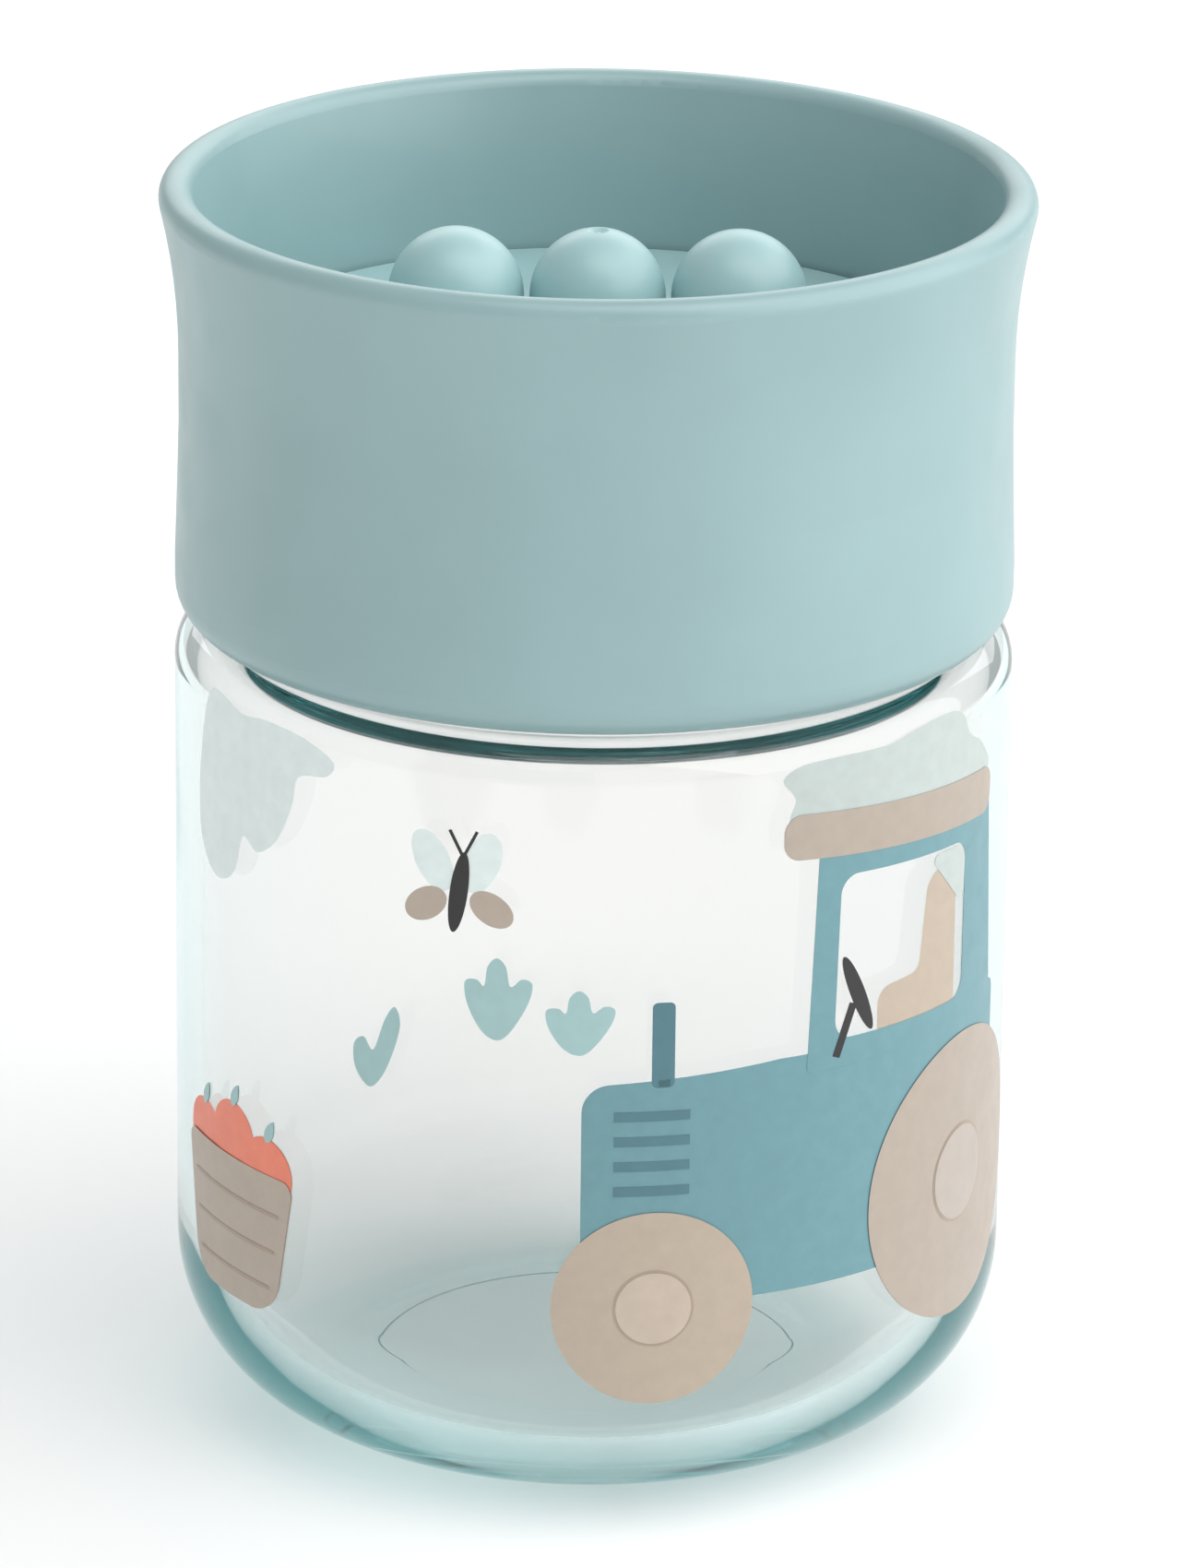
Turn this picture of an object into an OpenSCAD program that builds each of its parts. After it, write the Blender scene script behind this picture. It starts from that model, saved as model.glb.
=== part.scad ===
// Spill-proof training cup: a clear jar with a screwed-on drinking collar.
// Inside the collar a slotted plate carries a soft valve disc whose lip
// lifts anywhere round the rim. A seal ring on the plate closes the jar's neck.
// Origin: centre of the base, on the surface that the cup stands on. +Z is up.

/* [Jar] */
// Outside diameter of the jar
jar_d = 74; // [68:1:82]
// Thickness of the jar's wall
jar_wall = 2.4; // [2:0.1:2.6]
// Height of the jar's shoulder above the base
shoulder_z = 73; // [60:1:90]
// Height of the threaded neck above the shoulder
neck_h = 18.5; // [18:0.5:22]
// Outside radius of the rounded bottom corner
corner_r = 15.5; // [12:0.5:16]
// Thickness of the jar's floor
floor_t = 3.4; // [2.6:0.1:4]

/* [Collar] */
// Depth of the drinking bowl, from the rim down to the valve
bowl_depth = 15.7; // [14:0.1:20]
// How far the rim stands out beyond the jar's wall
rim_out = 1.2; // [0.8:0.1:2]
// Thickness of the rim and of the wall below it
rim_t = 3; // [2.6:0.1:3.2]
// How far the waist stands in from the jar's wall
waist_in = 0.46; // [0.2:0.02:0.6]
// Gap between the collar's lower edge and the jar's shoulder
skirt_gap = 0.6; // [0.4:0.1:1]

/* [Thread] */
// Number of separate ridges round the neck
starts = 4; // [3:1:4]
// Rise of the collar in one full turn
lead = 16; // [15:1:18]
// Height of the jar's ridges above the neck
ridge_h = 1.2; // [1:0.1:1.2]

/* [Valve] */
// Radius of each grip ball on the valve
ball_r = 5.95; // [5:0.05:6]
// Distance between the centres of two grip balls
ball_gap = 12.35; // [12.2:0.05:13]
// Width of the small vent mark on the middle ball
gate_w = 2.7; // [2:0.1:3.5]
// Number of drink slots in the plate
slot_count = 12; // [8:1:16]

/* [Hidden] */
$fn = 96;

// Colours
clear_tint = [0.80, 0.90, 0.90, 0.35];
powder_blue = [0.62, 0.75, 0.77];
soft_blue = [0.60, 0.74, 0.77];
milky = [0.88, 0.90, 0.89];

over = 0.1;                            // how far a cut runs past the surface that it opens

// Jar
jar_r = jar_d / 2;
bore_r = jar_r - jar_wall;
shoulder_w = 4;                        // width of the shoulder, from the wall to the neck
shoulder_r = 3.5;                      // rounding of the outer shoulder
neck_r = jar_r - shoulder_w;           // neck, at the root of its ridges
neck_bore_r = neck_r - jar_wall;
lip_z = shoulder_z + neck_h;           // top of the neck
lip_r = 0.8;                           // rounding of the neck's lip
throat_r = 2.3;                        // rounding under the neck, inside
shoulder_fillet_r = 1.65;              // rounding of the shoulder's inner corner
recess_r = 19;                         // shallow recess under the base
recess_h = 0.15;
foot_bevel = 0.15;
inner_corner_r = corner_r - 2.1;       // leaves the corner a little thicker than the wall

// Stack above the neck, in the order it is screwed together
rest_gap = 0.04;                       // left between pieces that lie on each other
seal_t = 1.4;
plate_z = lip_z + seal_t + 2 * rest_gap;
flange_t = 2.6;
seat_z = plate_z + flange_t;           // top of the plate
bead_h = 0.3;                          // raised sealing bead on the plate
ledge_z = seat_z + rest_gap;           // ledge in the collar that presses on the plate
bead_top = seat_z + bead_h;
valve_z = bead_top + rest_gap;         // underside of the valve's lip
disc_t = 1;
disc_top = valve_z + disc_t;

// Collar
rim_r = jar_r + rim_out;
tube_r = rim_t / 2;                    // the rim is a half round
rim_c = [rim_r - tube_r, disc_top + bowl_depth - tube_r];
waist_r = jar_r - waist_in;
waist_z = disc_top + 0.3;              // where the wall begins to bend outwards, above the valve
bend_r = (pow(rim_c[1] - waist_z, 2) + pow(rim_c[0] - waist_r, 2) - pow(tube_r, 2))
    / (2 * (tube_r + rim_c[0] - waist_r));
bend_c = [waist_r + bend_r, waist_z];
bowl_r = waist_r - rim_t;              // bowl, beside the valve
skirt_r = jar_r - 0.08;                // a hair inside the jar's wall
thread_room = 1.6;                     // from the neck to the collar's bore
skirt_bore_r = neck_r + thread_room;
hem_r = 3;                             // rounding of the lower edge
hem_z = shoulder_z + skirt_gap;
hem_c = [skirt_r - hem_r, hem_z + hem_r];
taper_top = shoulder_z + 18;           // the outside narrows from the skirt to the waist
taper_bottom = shoulder_z + 6;
catch_r = 0.7;                         // bead that keeps the plate in the collar
catch_gap = 0.2;
catch_z = plate_z - catch_r - catch_gap;

// Thread
start_angle = 360 / starts;
axial_pitch = lead / starts;
ridge_root = 2;                        // width at the foot of a ridge
ridge_crest = 0.9;
neck_sweep = 120;                      // degrees covered by a neck ridge
neck_ridge_z = shoulder_z + 6;         // height of a neck ridge at its start
lug_gap = 0.3;                         // the collar's ridges clear the neck
lug_h = thread_room - lug_gap;
lug_root = 1.3;
lug_crest = 0.8;
lug_sweep = 60;
lug_z = neck_ridge_z - axial_pitch / 2;
embed = 0.4;                           // depth of a ridge's root in its wall
fade = 14;                             // degrees over which a ridge runs out
thin = 0.06;                           // share of its height left at the ends
step_deg = 5;

// Valve plate
plate_r = neck_r + 1.3;
web_t = 1.8;
hub_r = 8;
hub_z = plate_z - 0.6;                 // the hub reaches below the flange
hub_bore_r = 2.85;
slot_in = neck_r - 8.8;
slot_w = 3.4;
slot_rib = 4;                          // ribs left between the slots
bead_in = neck_r - 2.8;
bead_w = 1.2;
bead_slope = 0.2;
spigot_r = neck_bore_r - 0.35;         // wall that reaches down into the neck
spigot_t = 1.2;
spigot_z = lip_z - 2.5;
spigot_top = plate_z - 0.5;            // where the spigot widens into the flange

// Valve disc
disc_r = bowl_r - 0.3;
boss_r = slot_in - 2.6;
boss_slope = 0.4;
stem_r = hub_bore_r - 0.05;            // soft stem, a snug fit in the hub
stem_z = hub_z - 2.5;
stem_tip = 0.8;
ball_sink = 0.75;
ball_z = disc_top + ball_r - ball_sink;
web_w = 2.4;
web_top = ball_z - 1.2;                // the web joins the balls below their middles
web_sink = 0.3;
gate_r = gate_w / 2;
gate_depth = 0.45;
nib_r = 0.4;

// Seal ring
seal_in = spigot_r + 0.05;
seal_out = neck_r - 0.1;

// Half-section of a drum: its lower and upper corners are rounded
module drum(r, z0, z1, low, high) {
    polygon([[0, z0], [r - low, z0], [r - low, z0 + low], [r, z0 + low],
             [r, z1 - high], [r - high, z1 - high], [r - high, z1], [0, z1]]);
    translate([r - low, z0 + low]) circle(low);
    translate([r - high, z1 - high]) circle(high);
}

// What is cut off where an inner edge is rounded: up is 1 or -1
module edge_cut(r, z, round_r, up) {
    difference() {
        translate([r - over, up > 0 ? z - over : z - round_r]) square([round_r + over, round_r + over]);
        translate([r + round_r, z + up * round_r]) circle(round_r);
    }
}

// A screw ridge: side 1 stands outwards from wall_r, side -1 inwards
module ridge(wall_r, h, side, z, root, crest, sweep) {
    n = ceil(sweep / step_deg);
    function grow(a) = max(thin, min(1, min(a, sweep - a) / fade));
    rings = [for (i = [0:n])
        let (a = sweep * i / n, g = grow(a), zc = z + lead * a / 360,
             foot = wall_r - side * embed, top = wall_r + side * h * g,
             w = crest / 2 + (root - crest) / 2 * (1 - g))
        [for (p = [[foot, -root / 2], [top, -w], [top, w], [foot, root / 2]])
            [p[0] * cos(a), p[0] * sin(a), zc + p[1]]]];
    points = [for (ring = rings) each ring];
    quads = [for (i = [0:n - 1], k = [0:3])
        let (p = 4 * i + k, q = 4 * i + (k + 1) % 4) [p, q, q + 4, p + 4]];
    ends = [[3, 2, 1, 0], [4 * n, 4 * n + 1, 4 * n + 2, 4 * n + 3]];
    faces = concat(quads, ends);
    polyhedron(points, side > 0 ? faces : [for (f = faces) [f[3], f[2], f[1], f[0]]]);
}

// Clear jar with a rounded base, a shoulder and a threaded neck
module jar() color(clear_tint) {
    rotate_extrude() difference() {
        union() {
            drum(jar_r, 0, shoulder_z, corner_r, shoulder_r);
            drum(neck_r, shoulder_z - 2 * lip_r, lip_z, lip_r, lip_r);
        }
        drum(bore_r, floor_t, shoulder_z - jar_wall, inner_corner_r, shoulder_fillet_r);
        translate([0, floor_t + inner_corner_r]) square([neck_bore_r, lip_z]);
        edge_cut(neck_bore_r, shoulder_z - jar_wall, throat_r, 1);
        edge_cut(neck_bore_r, lip_z, lip_r, -1);
        polygon([[0, -over], [0, recess_h], [recess_r, recess_h],
                 [recess_r + foot_bevel, 0], [recess_r + foot_bevel, -over]]);
    }
    for (i = [0:starts - 1])
        rotate(i * start_angle)
            ridge(neck_r, ridge_h, 1, neck_ridge_z, ridge_root, ridge_crest, neck_sweep);
}

// Wall of the drinking bowl: bends outwards and ends in a round rim
module bowl_wall() {
    reach = 1.2;
    intersection() {
        difference() {
            translate(bend_c) circle(bend_r + rim_t, $fn = 360);
            translate(bend_c) circle(bend_r, $fn = 360);
        }
        polygon([bend_c, bend_c - [reach * (bend_r + tube_r), 0], bend_c + reach * (rim_c - bend_c)]);
    }
    translate(rim_c) circle(tube_r);
}

// Drinking collar: a flared ring with a round rim, screwed onto the neck
module collar() color(powder_blue) {
    rotate_extrude() {
        bowl_wall();
        polygon([[skirt_bore_r, hem_c[1]], [skirt_r, hem_c[1]], [skirt_r, taper_bottom],
                 [waist_r, taper_top], [waist_r, waist_z], [bowl_r, waist_z],
                 [bowl_r, ledge_z], [skirt_bore_r, ledge_z]]);
        translate([skirt_bore_r, catch_z]) circle(catch_r);
        intersection() {
            translate(hem_c) circle(hem_r);
            translate([skirt_bore_r, hem_z]) square([hem_r, hem_r]);
        }
    }
    for (i = [0:starts - 1])
        rotate(i * start_angle)
            ridge(skirt_bore_r, lug_h, -1, lug_z, lug_root, lug_crest, lug_sweep);
}

// Opening for the drink, under the valve's lip
module drink_slot() {
    sweep = 360 / slot_count - slot_rib / slot_in * 180 / PI;
    rotate(-sweep / 2) rotate_extrude(angle = sweep)
        translate([slot_in, plate_z - over]) square([slot_w, flange_t + 2 * over]);
}

// Plate that carries the valve and closes the neck, with a ring of slots
module valve_plate() color(milky) {
    difference() {
        rotate_extrude() {
            polygon([[hub_bore_r, hub_z], [hub_r, hub_z], [hub_r, seat_z - web_t],
                     [spigot_r - spigot_t, seat_z - web_t], [spigot_r - spigot_t, spigot_top],
                     [spigot_r, spigot_top], [spigot_r, plate_z], [plate_r, plate_z],
                     [plate_r, seat_z], [bead_in + bead_w, seat_z],
                     [bead_in + bead_w - bead_slope, bead_top],
                     [bead_in + bead_slope, bead_top], [bead_in, seat_z], [hub_bore_r, seat_z]]);
            translate([spigot_r - spigot_t, spigot_z + spigot_t / 2])
                square([spigot_t, spigot_top - spigot_z - spigot_t / 2 + over]);
            translate([spigot_r - spigot_t / 2, spigot_z + spigot_t / 2]) circle(spigot_t / 2);
        }
        for (i = [0:slot_count - 1])
            rotate((i + 0.5) * 360 / slot_count) drink_slot();
    }
}

// Soft valve disc with a thin lip, three grip balls and a push-in stem
module valve_disc() color(soft_blue) {
    difference() {
        union() {
            rotate_extrude() {
                polygon([[0, stem_z], [stem_r - stem_tip, stem_z], [stem_r, stem_z + stem_tip],
                         [stem_r, seat_z + rest_gap], [boss_r, seat_z + rest_gap],
                         [boss_r + boss_slope, valve_z], [disc_r - disc_t / 2, valve_z],
                         [disc_r - disc_t / 2, disc_top], [0, disc_top]]);
                translate([disc_r - disc_t / 2, valve_z + disc_t / 2]) circle(disc_t / 2);
            }
            for (i = [-1:1])
                translate([i * ball_gap, 0, ball_z]) sphere(ball_r);
            translate([-ball_gap, -web_w / 2, disc_top - web_sink])
                cube([2 * ball_gap, web_w, web_top - disc_top + web_sink]);
        }
        translate([0, 0, ball_z + ball_r + gate_r - gate_depth]) sphere(gate_r);
    }
    translate([0, 0, ball_z + ball_r - gate_depth - nib_r / 2]) sphere(nib_r);
}

// Flat ring with round edges, stretched round the plate's spigot
module neck_seal() color(milky) {
    edge = seal_t / 2;
    rotate_extrude() translate([0, lip_z + rest_gap]) {
        translate([seal_in + edge, 0]) square([seal_out - seal_in - seal_t, seal_t]);
        translate([seal_in + edge, edge]) circle(edge);
        translate([seal_out - edge, edge]) circle(edge);
    }
}

jar();
collar();
valve_plate();
valve_disc();
neck_seal();
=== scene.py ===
"""The training cup's looks: materials, the clear jar, its printed art, light, floor and camera.

Lengths are in metres. Places on the jar's wall are given as (s, z) in millimetres: s runs along the wall
to the right of the front, and z is the height above the base.
"""

import math

import bmesh
import bpy
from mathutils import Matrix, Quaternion, Vector


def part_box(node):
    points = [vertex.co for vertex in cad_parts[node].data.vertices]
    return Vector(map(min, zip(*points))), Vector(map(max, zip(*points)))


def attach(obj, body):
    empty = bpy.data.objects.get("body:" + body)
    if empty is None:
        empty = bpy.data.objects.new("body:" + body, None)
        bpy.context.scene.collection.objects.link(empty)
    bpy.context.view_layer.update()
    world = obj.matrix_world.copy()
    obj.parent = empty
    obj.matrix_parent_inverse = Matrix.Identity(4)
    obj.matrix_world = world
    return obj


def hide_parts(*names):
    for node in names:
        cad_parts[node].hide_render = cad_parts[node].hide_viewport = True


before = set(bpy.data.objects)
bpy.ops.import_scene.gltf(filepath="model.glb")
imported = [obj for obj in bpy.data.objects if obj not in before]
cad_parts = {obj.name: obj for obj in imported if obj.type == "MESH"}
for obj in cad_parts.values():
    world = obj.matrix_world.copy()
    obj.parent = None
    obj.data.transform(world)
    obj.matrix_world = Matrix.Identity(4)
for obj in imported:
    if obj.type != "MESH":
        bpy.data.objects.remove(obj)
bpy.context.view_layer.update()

MM = 0.001
JAR_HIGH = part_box("jar")[1]
COLLAR_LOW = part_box("collar")[0]
WALL_R = JAR_HIGH.x / MM            # outside of the jar's wall, mm
INK_LIFT = 0.05                     # height of the first ink layer above the wall, mm
INK_STEP = 0.03                     # height of each further layer, mm
BASE_STEP = 0.008                   # pale base coats lie under all the inks, this far from each other, mm
STRIP_W = 1.0                       # ink is cut in upright strips this wide, so that it follows the wall
INK_ROUGH = 0.38
# The base coats' lightness and white share are painted light, standing in for light that shines through
# the ink.
COAT_PAINTED_LIGHTNESS = 0.85               # a base coat's strongest colour channel, before white is mixed in
COAT_LIFT_LIMIT = 3                 # a base coat is at most this much lighter than its ink, before white
COAT_WHITE = 0.95
COAT_WHITE_SHARE = 0.3              # of white in a base coat
TONE_SPREAD = 0.04                  # a moulded piece's tone varies by this share
ROUGH_SPREAD = 0.05                 # and its roughness by this much

# ---------------------------------------------------------------- camera, floor and light

CUP_MIDDLE = (0, 0, 0.08)           # what the lights point at


def add_camera():
    """Looks down at the cup from the front, from about 0.8 m, through a long lens."""
    back, up, aim = 0.7461, 0.3232, Vector((0.00066, 0, 0.0569))
    roll = 0.01154
    data = bpy.data.cameras.new("camera")
    data.sensor_width = 36
    data.lens = 204.7
    camera = bpy.data.objects.new("camera", data)
    bpy.context.scene.collection.objects.link(camera)
    camera.location = (0, -back, up)
    look = (aim - camera.location).to_track_quat("-Z", "Y")
    camera.rotation_mode = "QUATERNION"
    camera.rotation_quaternion = look @ Quaternion((0, 0, 1), roll)
    bpy.context.scene.camera = camera


def add_floor():
    """A plain pale floor, large enough to fill the view behind the cup."""
    just_below = -0.00003
    bpy.ops.mesh.primitive_plane_add(size=8, location=(0, 0, just_below))
    floor = bpy.context.object
    floor.name = "floor"
    mat, nodes, links, shader = new_material("floor_paper")
    shader.inputs["Base Color"].default_value = (0.95, 0.95, 0.95, 1)
    shader.inputs["Roughness"].default_value = 0.9
    shader.inputs["Specular IOR Level"].default_value = 0.1
    floor.data.materials.append(mat)


def add_area_light(name, place, size, power):
    """A white soft box that points at the cup's middle; size is in metres and power in watts."""
    data = bpy.data.lights.new(name, "AREA")
    data.shape = "RECTANGLE"
    data.size, data.size_y = size
    data.energy = power
    lamp = bpy.data.objects.new(name, data)
    bpy.context.scene.collection.objects.link(lamp)
    lamp.location = place
    lamp.rotation_euler = (Vector(CUP_MIDDLE) - Vector(place)).to_track_quat("-Z", "Y").to_euler()
    lamp.visible_transmission = False       # through the clear wall only the even room is seen


def add_light():
    """A white room, a large soft box at the right, and smaller ones above and behind."""
    world = bpy.data.worlds.new("white_room")
    bpy.context.scene.world = world
    world.use_nodes = True
    back = world.node_tree.nodes["Background"]
    back.inputs["Color"].default_value = (1, 1, 1, 1)
    back.inputs["Strength"].default_value = 0.51
    add_area_light("soft_box_right", (2.4, -0.5, 1.6), (5.0, 3.8), 93)
    add_area_light("soft_box_top", (0.3, -0.9, 2.9), (2.2, 1.8), 22)
    add_area_light("soft_box_back", (0.2, 2.6, 1.5), (3.6, 1.8), 30)
    bpy.context.scene.view_settings.view_transform = "Standard"


def allow_long_paths():
    """Lets light bounce often enough inside the thick clear wall, which is black otherwise."""
    cycles = bpy.context.scene.cycles
    cycles.max_bounces = 32
    cycles.glossy_bounces = 24
    cycles.transmission_bounces = 32
    cycles.transparent_max_bounces = 24


# ---------------------------------------------------------------- materials


def new_material(name):
    """A material, its nodes and links, and its shader."""
    mat = bpy.data.materials.new(name)
    mat.use_nodes = True
    nodes, links = mat.node_tree.nodes, mat.node_tree.links
    return mat, nodes, links, nodes["Principled BSDF"]


def noise(nodes, links, scale, detail, stretch=(1, 1, 1)):
    """A noise texture on the piece's own coordinates; scale is in features a metre."""
    coords = nodes.new("ShaderNodeTexCoord")
    mapping = nodes.new("ShaderNodeMapping")
    mapping.inputs["Scale"].default_value = stretch
    texture = nodes.new("ShaderNodeTexNoise")
    texture.inputs["Scale"].default_value = scale
    texture.inputs["Detail"].default_value = detail
    links.new(coords.outputs["Object"], mapping.inputs["Vector"])
    links.new(mapping.outputs["Vector"], texture.inputs["Vector"])
    return texture.outputs["Fac"]


def ramp(nodes, links, source, stops):
    """Colours or greys by position, from a 0 to 1 source."""
    node = nodes.new("ShaderNodeValToRGB")
    elements = node.color_ramp.elements
    while len(elements) < len(stops):
        elements.new(0.5)
    for element, (place, colour) in zip(elements, stops):
        element.position = place
        element.color = (*colour, 1) if isinstance(colour, tuple) else (colour, colour, colour, 1)
    links.new(source, node.inputs["Fac"])
    return node.outputs["Color"]


def bump(nodes, links, source, depth, below=None):
    """Surface relief; depth is in metres."""
    node = nodes.new("ShaderNodeBump")
    node.inputs["Strength"].default_value = 1
    node.inputs["Distance"].default_value = depth
    links.new(source, node.inputs["Height"])
    if below is not None:
        links.new(below, node.inputs["Normal"])
    return node.outputs["Normal"]


def shade(colour, share):
    """The colour, darker or lighter by a factor."""
    return tuple(min(1.0, c * share) for c in colour)


def moulded(name, colour, rough, grain, grain_depth, soft=0.0, specular=0.5):
    """Satin moulded plastic or silicone: faint clouding, a fine grain and uneven gloss.

    grain is in features a metre, grain_depth in metres, and soft is the share of subsurface light.
    """
    mat, nodes, links, shader = new_material(name)
    clouds = noise(nodes, links, 55, 4)
    dark, light = shade(colour, 1 - TONE_SPREAD), shade(colour, 1 + TONE_SPREAD)
    tone = ramp(nodes, links, clouds, [(0.3, dark), (0.7, light)])
    links.new(tone, shader.inputs["Base Color"])
    patches = noise(nodes, links, 160, 5)
    gloss = ramp(nodes, links, patches, [(0.3, rough - ROUGH_SPREAD), (0.7, rough + ROUGH_SPREAD)])
    links.new(gloss, shader.inputs["Roughness"])
    waves = bump(nodes, links, noise(nodes, links, 90, 2), 0.00002)
    fine = bump(nodes, links, noise(nodes, links, grain, 2), grain_depth, waves)
    links.new(fine, shader.inputs["Normal"])
    shader.inputs["IOR"].default_value = 1.49
    shader.inputs["Specular IOR Level"].default_value = specular
    if soft:
        shader.inputs["Subsurface Weight"].default_value = soft
        shader.inputs["Subsurface Radius"].default_value = (0.8, 1.0, 1.0)
        shader.inputs["Subsurface Scale"].default_value = 0.0025
    return mat


def clear_plastic():
    """Clear copolyester: a thick wall looks teal, and the surface carries faint moulding waves."""
    mat, nodes, links, shader = new_material("jar_clear")
    shader.inputs["Base Color"].default_value = (0.998, 0.940, 0.930, 1)
    shader.inputs["Transmission Weight"].default_value = 1
    shader.inputs["IOR"].default_value = 1.5
    haze = ramp(nodes, links, noise(nodes, links, 120, 4), [(0.35, 0.01), (0.75, 0.045)])
    links.new(haze, shader.inputs["Roughness"])
    waves = noise(nodes, links, 45, 2, (1, 1, 0.35))
    links.new(bump(nodes, links, waves, 0.00006), shader.inputs["Normal"])
    output = nodes["Material Output"]
    tint = nodes.new("ShaderNodeVolumeAbsorption")
    tint.inputs["Color"].default_value = (0.01, 0.72, 0.74, 1)
    tint.inputs["Density"].default_value = 34
    links.new(tint.outputs["Volume"], output.inputs["Volume"])
    # Shadow rays pass straight through, so that what stands inside and behind the wall is lit.
    path = nodes.new("ShaderNodeLightPath")
    clear = nodes.new("ShaderNodeBsdfTransparent")
    clear.inputs["Color"].default_value = (1, 0.985, 0.985, 1)
    mix = nodes.new("ShaderNodeMixShader")
    links.new(path.outputs["Is Shadow Ray"], mix.inputs["Fac"])
    links.new(shader.outputs["BSDF"], mix.inputs[1])
    links.new(clear.outputs["BSDF"], mix.inputs[2])
    links.new(mix.outputs["Shader"], output.inputs["Surface"])
    return mat


def ink(name, colour):
    """Screen-printed ink: nearly even, with a faint mottle and a thin relief."""
    mat, nodes, links, shader = new_material("ink_" + name)
    mottle = noise(nodes, links, 700, 5)
    tone = ramp(nodes, links, mottle, [(0.25, shade(colour, 0.95)), (0.75, shade(colour, 1.04))])
    links.new(tone, shader.inputs["Base Color"])
    patches = noise(nodes, links, 300, 3)
    uneven = ramp(nodes, links, patches, [(0.3, INK_ROUGH - 0.06), (0.7, INK_ROUGH + 0.06)])
    links.new(uneven, shader.inputs["Roughness"])
    links.new(bump(nodes, links, noise(nodes, links, 2600, 2), 0.000004), shader.inputs["Normal"])
    return mat


def coat_with_painted_light(colour):
    """The base coat's colour: the ink's own hue, made light and mixed with white, as painted light
    through the ink.
    """
    lift = min(COAT_LIFT_LIMIT, COAT_PAINTED_LIGHTNESS / max(colour))
    return tuple((1 - COAT_WHITE_SHARE) * c * lift + COAT_WHITE_SHARE * COAT_WHITE for c in colour)


def dress(node, mat):
    """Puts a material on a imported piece."""
    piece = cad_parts[node]
    piece.data.materials.clear()
    piece.data.materials.append(mat)


# ---------------------------------------------------------------- the clear jar, in mm

SEGMENTS = 360
ARC_STEP = 5                         # a rounding has a row each this many degrees
ROW_SPACING = 5                      # and a straight stretch one each this many mm
ON_AXIS = 1e-6                       # a point is on the axis below this radius

# The jar's section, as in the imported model.
SHOULDER_GAP = 0.68                  # from the shoulder up to the collar
SHOULDER_Z = COLLAR_LOW.z / MM - SHOULDER_GAP
SHOULDER_W = 4                       # step from the wall in to the neck
NECK_R = WALL_R - SHOULDER_W
NECK_TOP = JAR_HIGH.z / MM
WALL_T = 2.4
FLOOR_T = 3.4
RECESS_R, RECESS_H = 19, 0.15        # the round recess under the floor, whose edge slopes at 45 degrees
RECESS_ROUND = 0.1
BASE_ROUND, FLOOR_ROUND = 15.5, 13.4              # the bottom corner, outside and inside
SHOULDER_ROUND, SHOULDER_ROUND_IN = 3.5, 1.65     # the shoulder's corner, outside and inside
NECK_FOOT_ROUND, THROAT_ROUND = 0.15, 2.3         # the neck's foot, outside and inside
LIP_ROUND = 0.8
NECK_SPACING = 0.3                   # rows on the neck lie this close, for the thread

# The thread on the neck's outside.
LEAD = 16                            # rise of the thread in one turn
STARTS = 4
RIDGE_LIFT = 6
RIDGE_Z = SHOULDER_Z + RIDGE_LIFT    # middle of a ridge where it starts
RIDGE_SWEEP = 120                    # degrees that a ridge goes round
RIDGE_FADE = 14                      # degrees over which a ridge grows at either end
RIDGE_H = 1.2
RIDGE_ROOT, RIDGE_CREST = 1.0, 0.45  # half of a ridge's width at the neck and at its top
LEAST_GROWN = 0.06                   # a ridge's height at its ends, as a share
LEAST_FLANK = 0.02                   # a ridge's flank is at least this wide
ZONE_BELOW = 1.6                     # the ridges' zone starts this far below the lowest ridge's middle
ZONE_LIP = 1                         # and ends this far below the lip
ZONE_DEPTH = 0.01                    # and holds only what is this near the neck's radius


def section(corners):
    """Points and normals along a half-section that is given by its corners.

    A corner is (r, z, rounding) or (r, z, rounding, row), where row is the spacing of the rows on the
    stretch that leads to it. The solid lies at the left of the path.
    """
    flat = [Vector(c[:2]) for c in corners]
    rows = [(flat[0], None)]
    for i in range(1, len(corners)):
        ahead = (flat[i] - flat[i - 1]).normalized()
        normal = Vector((ahead.y, -ahead.x))
        if i == 1:
            rows[0] = (flat[0], normal)
        stretch = []
        if i < len(corners) - 1:
            onward = (flat[i + 1] - flat[i]).normalized()
            bend = math.atan2(ahead.cross(onward), ahead.dot(onward))
            radius = math.copysign(corners[i][2], bend)
            after = Vector((onward.y, -onward.x))
            centre = flat[i] - (normal + after) / (1 + normal.dot(after)) * radius
            steps = max(2, math.ceil(abs(math.degrees(bend)) / ARC_STEP))
            for k in range(steps + 1):
                a = bend * k / steps
                turned = Vector((normal.x * math.cos(a) - normal.y * math.sin(a),
                                 normal.x * math.sin(a) + normal.y * math.cos(a)))
                stretch.append((centre + turned * radius, turned))
        else:
            stretch.append((flat[i], normal))
        start, end = rows[-1][0], stretch[0][0]
        spacing = corners[i][3] if len(corners[i]) > 3 else ROW_SPACING
        count = max(1, math.ceil((end - start).length / spacing))
        rows += [(start.lerp(end, k / count), normal) for k in range(1, count)]
        rows += stretch
    return rows


def near_ridges(r, z):
    """True on the neck's outside, where the thread's ridges are."""
    return abs(r - NECK_R) < ZONE_DEPTH and RIDGE_Z - ZONE_BELOW < z < NECK_TOP - ZONE_LIP


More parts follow.
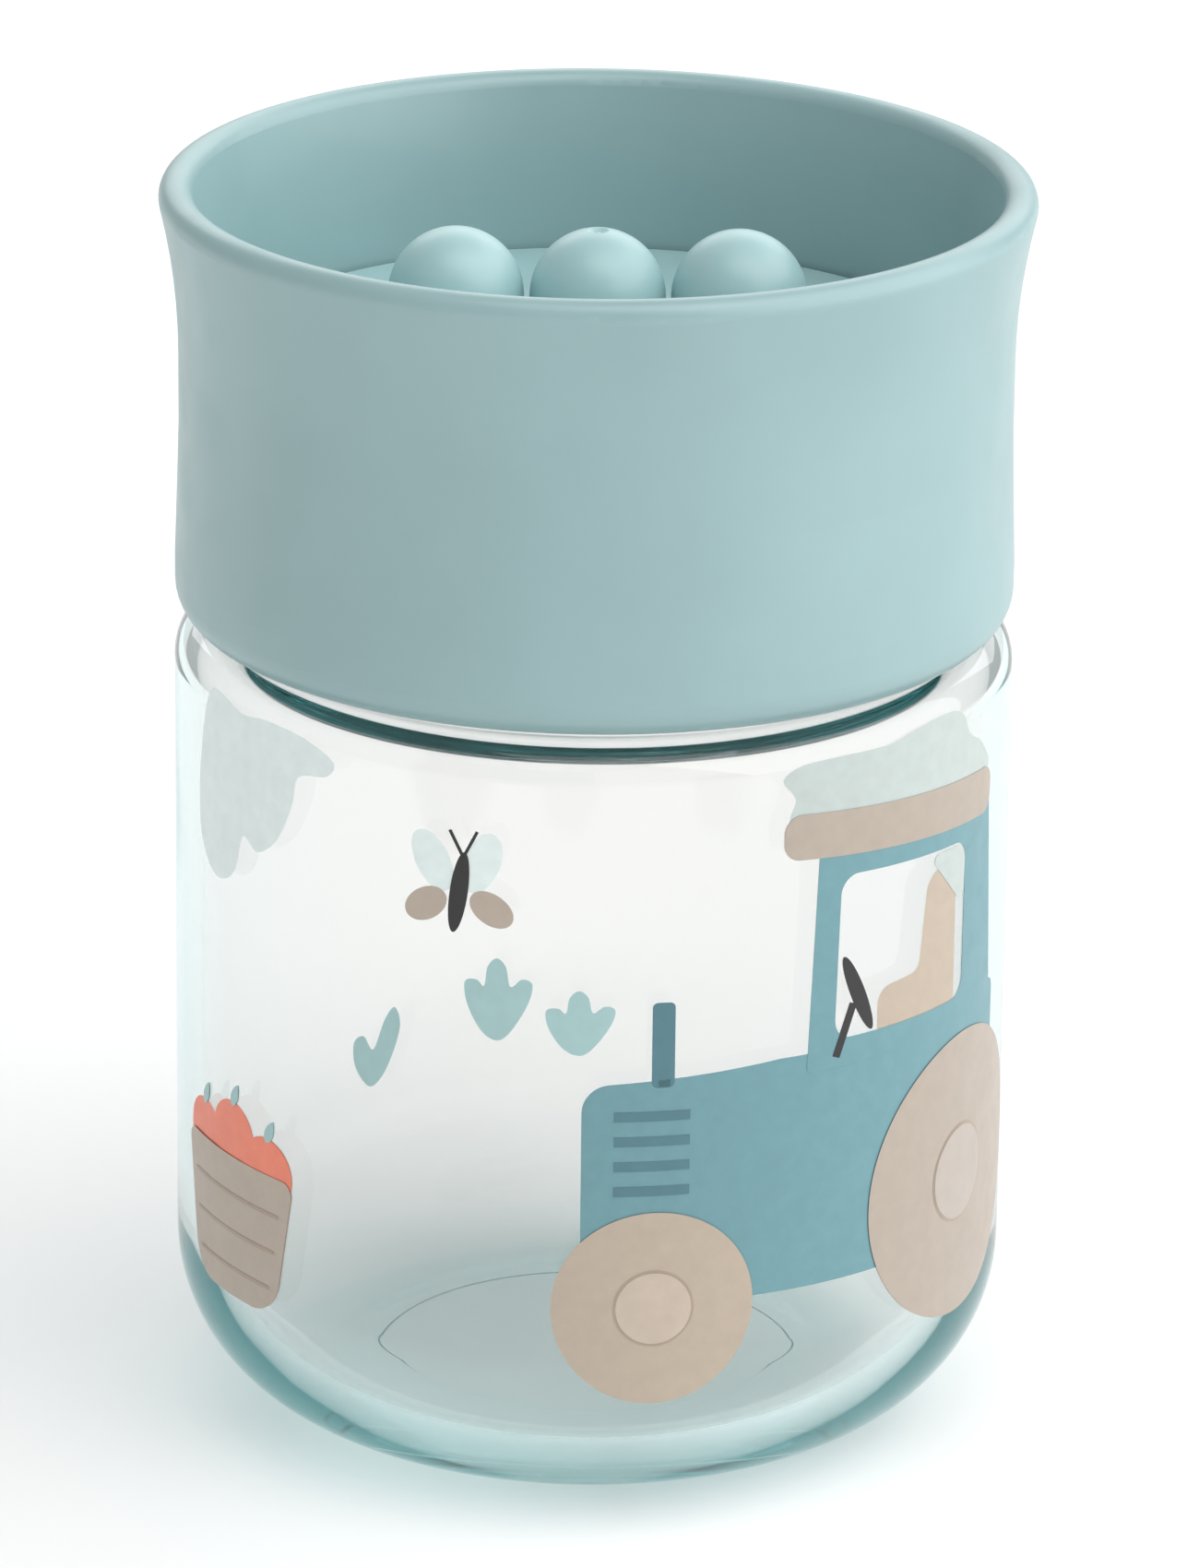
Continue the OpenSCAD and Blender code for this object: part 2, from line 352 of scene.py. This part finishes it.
def ridges(angle, r, z):
    """Height of the thread's ridges above the neck; angle is in degrees."""
    if not near_ridges(r, z):
        return 0.0
    most = 0.0
    for start in range(STARTS):
        a = (angle - start * 360 / STARTS) % 360
        if a > RIDGE_SWEEP:
            continue
        grown = max(LEAST_GROWN, min(1, a / RIDGE_FADE, (RIDGE_SWEEP - a) / RIDGE_FADE))
        off = abs(z - RIDGE_Z - LEAD * a / 360)
        flat = RIDGE_CREST + (RIDGE_ROOT - RIDGE_CREST) * (1 - grown)
        slope = min(1.0, max(0.0, (RIDGE_ROOT - off) / max(RIDGE_ROOT - flat, LEAST_FLANK)))
        most = max(most, RIDGE_H * grown * slope)
    return most


def turned_jar(rows):
    """The jar, closed and turned round the Z axis, with the thread's ridges on its neck."""
    verts, normals, raised = [], [], []
    for point, normal in rows:
        for j in range(SEGMENTS if point.x > ON_AXIS else 1):
            a = 2 * math.pi * j / SEGMENTS
            r = point.x + ridges(math.degrees(a), point.x, point.y)
            verts.append((r * math.cos(a) * MM, r * math.sin(a) * MM, point.y * MM))
            normals.append((normal.x * math.cos(a), normal.x * math.sin(a), normal.y))
            raised.append(near_ridges(point.x, point.y))
    faces, first = [], 0
    for (low, _), (high, _) in zip(rows, rows[1:]):
        n, m = (SEGMENTS if p.x > ON_AXIS else 1 for p in (low, high))
        second = first + n
        for j in range(SEGMENTS):
            k = (j + 1) % SEGMENTS
            ring = [first + j % n, first + k % n, second + k % m, second + j % m]
            faces.append(list(dict.fromkeys(ring)))
        first = second
    mesh = bpy.data.meshes.new("clear_jar")
    mesh.from_pydata(verts, [], faces)
    mesh.update()
    for face in mesh.polygons:
        face.use_smooth = True
    # The section gives exact normals, except on the ridges, which keep the mesh's own.
    own = [tuple(v.vector) for v in mesh.vertex_normals]
    exact = [o if up else n for o, n, up in zip(own, normals, raised)]
    mesh.normals_split_custom_set_from_vertices(exact)
    piece = bpy.data.objects.new("clear_jar", mesh)
    bpy.context.scene.collection.objects.link(piece)
    return piece


def make_jar(mat):
    """The clear jar, turned finely enough to bend light cleanly."""
    bore = WALL_R - WALL_T
    neck_bore = NECK_R - WALL_T
    under = SHOULDER_Z - WALL_T
    piece = turned_jar(section([
        (0, RECESS_H, 0), (RECESS_R, RECESS_H, RECESS_ROUND), (RECESS_R + RECESS_H, 0, RECESS_ROUND),
        (WALL_R, 0, BASE_ROUND), (WALL_R, SHOULDER_Z, SHOULDER_ROUND),
        (NECK_R, SHOULDER_Z, NECK_FOOT_ROUND), (NECK_R, NECK_TOP, LIP_ROUND, NECK_SPACING),
        (neck_bore, NECK_TOP, LIP_ROUND), (neck_bore, under, THROAT_ROUND),
        (bore, under, SHOULDER_ROUND_IN), (bore, FLOOR_T, FLOOR_ROUND), (0, FLOOR_T, 0),
    ]))
    piece.data.materials.append(mat)
    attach(piece, "jar")
    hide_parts("jar")


# ---------------------------------------------------------------- outlines on the wall, in mm


def ellipse(centre, half_w, half_h, tilt=0.0, steps=72):
    """An ellipse, tilted anticlockwise by degrees."""
    c, s = math.cos(math.radians(tilt)), math.sin(math.radians(tilt))
    ring = []
    for i in range(steps):
        a = 2 * math.pi * i / steps
        x, y = half_w * math.cos(a), half_h * math.sin(a)
        ring.append((centre[0] + c * x - s * y, centre[1] + s * x + c * y))
    return ring


def rounded(corners, radius, steps=8):
    """A polygon whose corners are rounded. radius is one number, or one for each corner."""
    count = len(corners)
    radii = [radius] * count if isinstance(radius, (int, float)) else radius
    outline = []
    for i, corner in enumerate(corners):
        p = Vector(corner)
        before = (Vector(corners[i - 1]) - p).normalized()
        after = (Vector(corners[(i + 1) % count]) - p).normalized()
        half = before.angle(after) / 2
        reach = radii[i] / math.tan(half)
        centre = p + (before + after).normalized() * (radii[i] / math.sin(half))
        start, end = p + before * reach - centre, p + after * reach - centre
        first = math.atan2(start.y, start.x)
        sweep = (math.atan2(end.y, end.x) - first + math.pi) % (2 * math.pi) - math.pi
        for k in range(steps + 1):
            a = first + sweep * k / steps
            outline.append((centre.x + radii[i] * math.cos(a), centre.y + radii[i] * math.sin(a)))
    return outline


def smooth(points, steps=8):
    """A closed soft curve through the points."""
    count = len(points)
    outline = []
    for i in range(count):
        a, b, c, d = (Vector(points[(i + k) % count]) for k in (-1, 0, 1, 2))
        for k in range(steps):
            t = k / steps
            bend, twist = a * 2 - b * 5 + c * 4 - d, b * 3 - a - c * 3 + d
            p = (b * 2 + (c - a) * t + bend * t ** 2 + twist * t ** 3) / 2
            outline.append((p.x, p.y))
    return outline


def petal(foot, length, width, lean, steps=24):
    """A leaf from its foot to its tip; lean is its angle from upright, to the right."""
    up = Vector((math.sin(math.radians(lean)), math.cos(math.radians(lean))))
    side = Vector((up.y, -up.x))
    edge = []
    for i in range(steps + 1):
        t = i / steps
        half = width / 2 * math.sin(math.pi * t ** 0.8) ** 0.75 if 0 < t < 1 else 0.0
        edge.append((t, half))
    path = edge + [(t, -w) for t, w in reversed(edge[1:-1])]
    points = [Vector(foot) + up * (t * length) + side * w for t, w in path]
    return [(p.x, p.y) for p in points]


def stroke(points, width):
    """A line of the given width through points."""
    left, right = [], []
    for i, point in enumerate(points):
        a, b = Vector(points[max(i - 1, 0)]), Vector(points[min(i + 1, len(points) - 1)])
        ahead = (b - a).normalized()
        across = Vector((-ahead.y, ahead.x)) * width / 2
        left.append(tuple(Vector(point) + across))
        right.append(tuple(Vector(point) - across))
    return left + right[::-1]


# ---------------------------------------------------------------- ink on the jar's wall


def cut_in_strips(bm, low, high):
    """Cuts a flat shape along upright lines, so that it can follow the round wall."""
    line = math.ceil(low / STRIP_W) * STRIP_W
    while line < high:
        parts = bm.verts[:] + bm.edges[:] + bm.faces[:]
        bmesh.ops.bisect_plane(bm, geom=parts, plane_co=(line, 0, 0), plane_no=(1, 0, 0), dist=1e-5)
        line += STRIP_W


def ink_sheet(name, mat, outlines, holes, radius):
    """A thin sheet of ink, at the given radius in mm."""
    bm = bmesh.new()
    for outline in outlines:
        edges = []
        for loop in [outline, *holes]:
            verts = [bm.verts.new((s, z, 0)) for s, z in loop]
            edges += [bm.edges.new((verts[i - 1], verts[i])) for i in range(len(verts))]
        bmesh.ops.triangle_fill(bm, use_beauty=True, use_dissolve=False, edges=edges)
    across = [v.co.x for v in bm.verts]
    cut_in_strips(bm, min(across), max(across))
    for v in bm.verts:
        around = v.co.x / WALL_R
        v.co = Vector((radius * math.sin(around), -radius * math.cos(around), v.co.y)) * MM
    bm.normal_update()
    for face in bm.faces:
        middle = face.calc_center_median()
        if face.normal.x * middle.x + face.normal.y * middle.y < 0:
            face.normal_flip()
        face.smooth = True
    mesh = bpy.data.meshes.new(name)
    bm.to_mesh(mesh)
    bm.free()
    mesh.materials.append(mat)
    piece = bpy.data.objects.new(name, mesh)
    bpy.context.scene.collection.objects.link(piece)
    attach(piece, "jar")


def printed(name, tone, outlines, layer=0, holes=()):
    """Ink on the jar: outlines and holes are rings of (s, z) points, and layers lie on each other.

    A paler base coat under each print is what is seen of it from inside the jar; its paleness is painted
    light.
    """
    colour, coat = tone
    ink_sheet(name, colour, outlines, holes, WALL_R + INK_LIFT + INK_STEP * layer)
    ink_sheet(name + "_base", coat, outlines, holes, WALL_R + INK_LIFT - BASE_STEP * (layer + 0.5))


def print_tractor(inks):
    """A plain tractor: hood, cab with an open window and a seat, roof, exhaust and two round wheels."""
    body = rounded(
        [(-0.6, 24.6), (5, 22.4), (47, 21.8), (47, 43.4), (17, 43.9), (-0.6, 42.6)],
        [2, 1, 1, 1, 1, 2.6],
    )
    printed("tractor_body", inks["blue"], [body])
    cab = rounded([(19.6, 42), (46, 42), (44.6, 62), (20.6, 63.6)], [0.6, 0.6, 0.8, 0.8])
    window = rounded([(22.4, 44.6), (39.4, 44.2), (39.6, 58.6), (22.9, 59.6)], 1.8)
    printed("tractor_cab", inks["blue"], [cab], 1, [window])
    glare = rounded([(33.6, 58.6), (39.4, 52.4), (39.6, 58.4)], [0.6, 0.8, 1.6])
    # The glare is part of the print; its ink is a darker copy of pale, painted shade against the light
    # from the right.
    printed("tractor_window_glare", inks["pale_painted_shade"], [glare], 1)
    seat = rounded(
        [(27.2, 43.0), (38, 43.0), (38, 57.2), (33.6, 57.2), (32.4, 48.6), (27.2, 48.2)],
        [1, 1, 2, 2, 1.2, 1.6],
    )
    printed("tractor_seat", inks["tan"], [seat])
    roof = rounded([(17, 61.9), (44.6, 59.7), (45, 63.9), (17, 66)], 1.6)
    # The roof's ink is a darker copy of tan, painted shade against the light from the right.
    printed("tractor_roof", inks["tan_right"], [roof], 2)
    wheel = ellipse((24.9, 48.4), 0.75, 4.0, 24)
    column = stroke([(22.6, 43), (24.4, 47.6)], 0.8)
    printed("tractor_steering", inks["black"], [wheel, column], 2)
    pipe = rounded([(5.4, 42.4), (7.4, 42.4), (7.4, 50.2), (5.4, 50.2)], 0.5)
    printed("tractor_exhaust", inks["dark_blue"], [pipe])
    for i in range(4):
        z = 39.8 - 2.3 * i
        bar = stroke([(2.2, z), (8.8, z)], 0.9)
        printed(f"tractor_grille_{i + 1}", inks["dark_blue"], [bar], 1)
    line_w = 0.22
    # The rear wheel's inks are darker copies of tan and pale tan, painted shade against the light from
    # the right.
    for side, centre, tyre, hub, tone in [
        ("front", (5.8, 22.0), 8.9, 3.3, ""),
        ("rear", (39.8, 27.4), 13.2, 4.3, "_right"),
    ]:
        printed(f"tyre_{side}", inks["tan" + tone], [ellipse(centre, tyre, tyre, steps=120)], 3)
        printed(f"hub_line_{side}", inks["dark_tan"], [ellipse(centre, hub + line_w, hub + line_w)], 4)
        printed(f"hub_{side}", inks["pale_tan" + tone], [ellipse(centre, hub, hub)], 5)


def print_clouds(inks):
    """Soft pale clouds: one at the left and one over the cab."""
    left = smooth([
        (-40.6, 71.3), (-35.2, 70.6), (-31.7, 71.0), (-27.0, 70.6), (-23.7, 69.2), (-24.4, 67.7),
        (-27.6, 66.9), (-28.5, 63.9), (-30.4, 60.4), (-33.0, 58.6), (-35.2, 59.4), (-36.6, 55.8),
        (-39.2, 54.3), (-41.8, 55.4), (-43.4, 58.6), (-43.0, 65.0),
    ])
    printed("cloud_left", inks["pale"], [left])
    over = smooth([
        (16.8, 69.2), (18.6, 70.3), (22.7, 70.5), (27.8, 70.4), (31.6, 71.0), (36.4, 71.2), (38.8, 70.2),
        (40.0, 68.2), (42.8, 66.4), (43.6, 63.6), (30.0, 64.0), (18.4, 64.6), (18.0, 67.4),
    ])
    # This cloud's ink is a darker copy of pale, painted shade against the light from the right.
    printed("cloud_over_cab", inks["pale_painted_shade"], [over])


def print_sprouts(inks):
    """Three sprouts of two or three round leaves; tall stretches a sprout upwards."""
    pair = [
        (1.9, 4.2), (2.4, 2.4), (1.1, -1.6), (-0.5, -3.6), (-2.0, -2.2), (-2.2, 0.0), (-1.2, 0.9),
        (-0.2, -0.1), (0.9, 2.8),
    ]
    trio = [
        (0, 3.6), (0.8, 2.9), (1.2, 1.2), (2.2, 1.9), (3.1, 1.5), (2.7, -0.3), (1.2, -2.8), (0, -3.6),
        (-1.4, -2.8), (-2.6, -0.6), (-2.8, 1.3), (-1.8, 1.6), (-1.1, 1.1), (-0.8, 2.8),
    ]
    sprouts = [(-19.2, 44.0, pair, 1.0), (-8.0, 50.2, trio, 1.04), (-0.9, 48.4, trio, 0.82)]
    for i, (s, z, leaves, tall) in enumerate(sprouts):
        outline = smooth([(s + a, z + b * tall) for a, b in leaves])
        printed(f"sprout_{i + 1}", inks["leaf"], [outline])


def print_butterfly(inks):
    """A small butterfly: two upper wings, two lower ones, a body and two feelers."""
    s, z = -11.4, 59.6
    wings = [
        (-2.4, 2.6, 1.6, 2.9, 28, "pale", 0), (2.0, 2.8, 1.6, 2.9, -22, "pale", 0),
        (-3.0, -1.4, 1.4, 2.1, -58, "taupe", 1), (2.9, -1.3, 1.4, 2.1, 58, "taupe", 1),
    ]
    for i, (ds, dz, half_w, half_h, tilt, tone, layer) in enumerate(wings):
        wing = ellipse((s + ds, z + dz), half_w, half_h, tilt)
        printed(f"butterfly_wing_{i + 1}", inks[tone], [wing], layer)
    printed("butterfly_body", inks["black"], [ellipse((s, z), 0.8, 3.7, -8)], 2)
    head = (s + 0.4, z + 3.2)
    for i, lean in enumerate((-26, 22)):
        a = math.radians(lean)
        tip = (s + 0.5 + 3.0 * math.sin(a), z + 3.4 + 2.4 * math.cos(a))
        printed(f"butterfly_feeler_{i + 1}", inks["black"], [stroke([head, tip], 0.28)], 2)


def print_basket(inks):
    """A woven basket with three apples."""
    s = -37.2
    for i, (ds, z) in enumerate([(-5.2, 29.4), (0.2, 31.0), (5.4, 29.2)]):
        printed(f"apple_{i + 1}", inks["coral"], [ellipse((s + ds, z), 3.4, 3.2)], i)
        printed(f"apple_leaf_{i + 1}", inks["leaf"], [petal((s + ds, z + 2.8), 2.4, 1.1, 24)], 3)
    low, low_half = 15.8, 6.6
    high, high_half = 29, 9
    corners = [(s - high_half, high), (s - low_half, low), (s + low_half, low), (s + high_half, high)]
    printed("basket", inks["taupe"], [rounded(corners, [1.2, 4, 4, 1.2])], 4)
    margin = 1.2
    for i, z in enumerate((25.4, 21.9, 18.4)):
        half = low_half + (high_half - low_half) * (z - low) / (high - low) - margin
        band = stroke([(s - half, z), (s + half, z)], 0.35)
        printed(f"basket_band_{i + 1}", inks["dark_tan"], [band], 5)


def print_art():
    """All the prints. The darker copies of the pale, tan and pale tan tones are painted shade, against
    the light from the right on the prints there.
    """
    tones = {
        "blue": (0.149, 0.311, 0.349),
        "dark_blue": (0.083, 0.199, 0.237),
        "tan": (0.486, 0.402, 0.318),
        "dark_tan": (0.408, 0.320, 0.248),
        "pale_tan": (0.552, 0.458, 0.375),
        "taupe": (0.475, 0.403, 0.331),
        "leaf": (0.364, 0.552, 0.552),
        "pale": (0.780, 0.880, 0.864),
        # Painted shade: the next three tones are darker copies of pale, tan and pale tan, for prints in
        # the light from the right.
        "pale_painted_shade": (0.492, 0.558, 0.540),
        "tan_right": (0.425, 0.362, 0.303),
        "pale_tan_right": (0.464, 0.408, 0.359),
        "coral": (0.880, 0.240, 0.150),
        "black": (0.022, 0.020, 0.022),
    }
    inks = {}
    for name, colour in tones.items():
        # Each ink has a base coat, lightened with painted light.
        inks[name] = (ink(name, colour), ink(name + "_base", coat_with_painted_light(colour)))
    print_tractor(inks)
    print_clouds(inks)
    print_sprouts(inks)
    print_butterfly(inks)
    print_basket(inks)


# ---------------------------------------------------------------- the scene

add_camera()
add_floor()
add_light()
allow_long_paths()

make_jar(clear_plastic())
pale_blue = moulded("collar_satin", (0.278, 0.430, 0.440), 0.38, 5200, 0.0000035, specular=0.95)
dress("collar", pale_blue)
soft_blue = moulded(
    "valve_silicone", (0.366, 0.565, 0.578), 0.40, 4200, 0.0000025, soft=0.30, specular=0.95,
)
dress("valve_disc", soft_blue)
milky = moulded("plate_milky", (0.880, 0.910, 0.905), 0.40, 5200, 0.000003, soft=0.25)
dress("valve_plate", milky)
soft_milky = moulded("seal_silicone", (0.870, 0.895, 0.885), 0.50, 4200, 0.0000025, soft=0.35)
dress("neck_seal", soft_milky)
print_art()
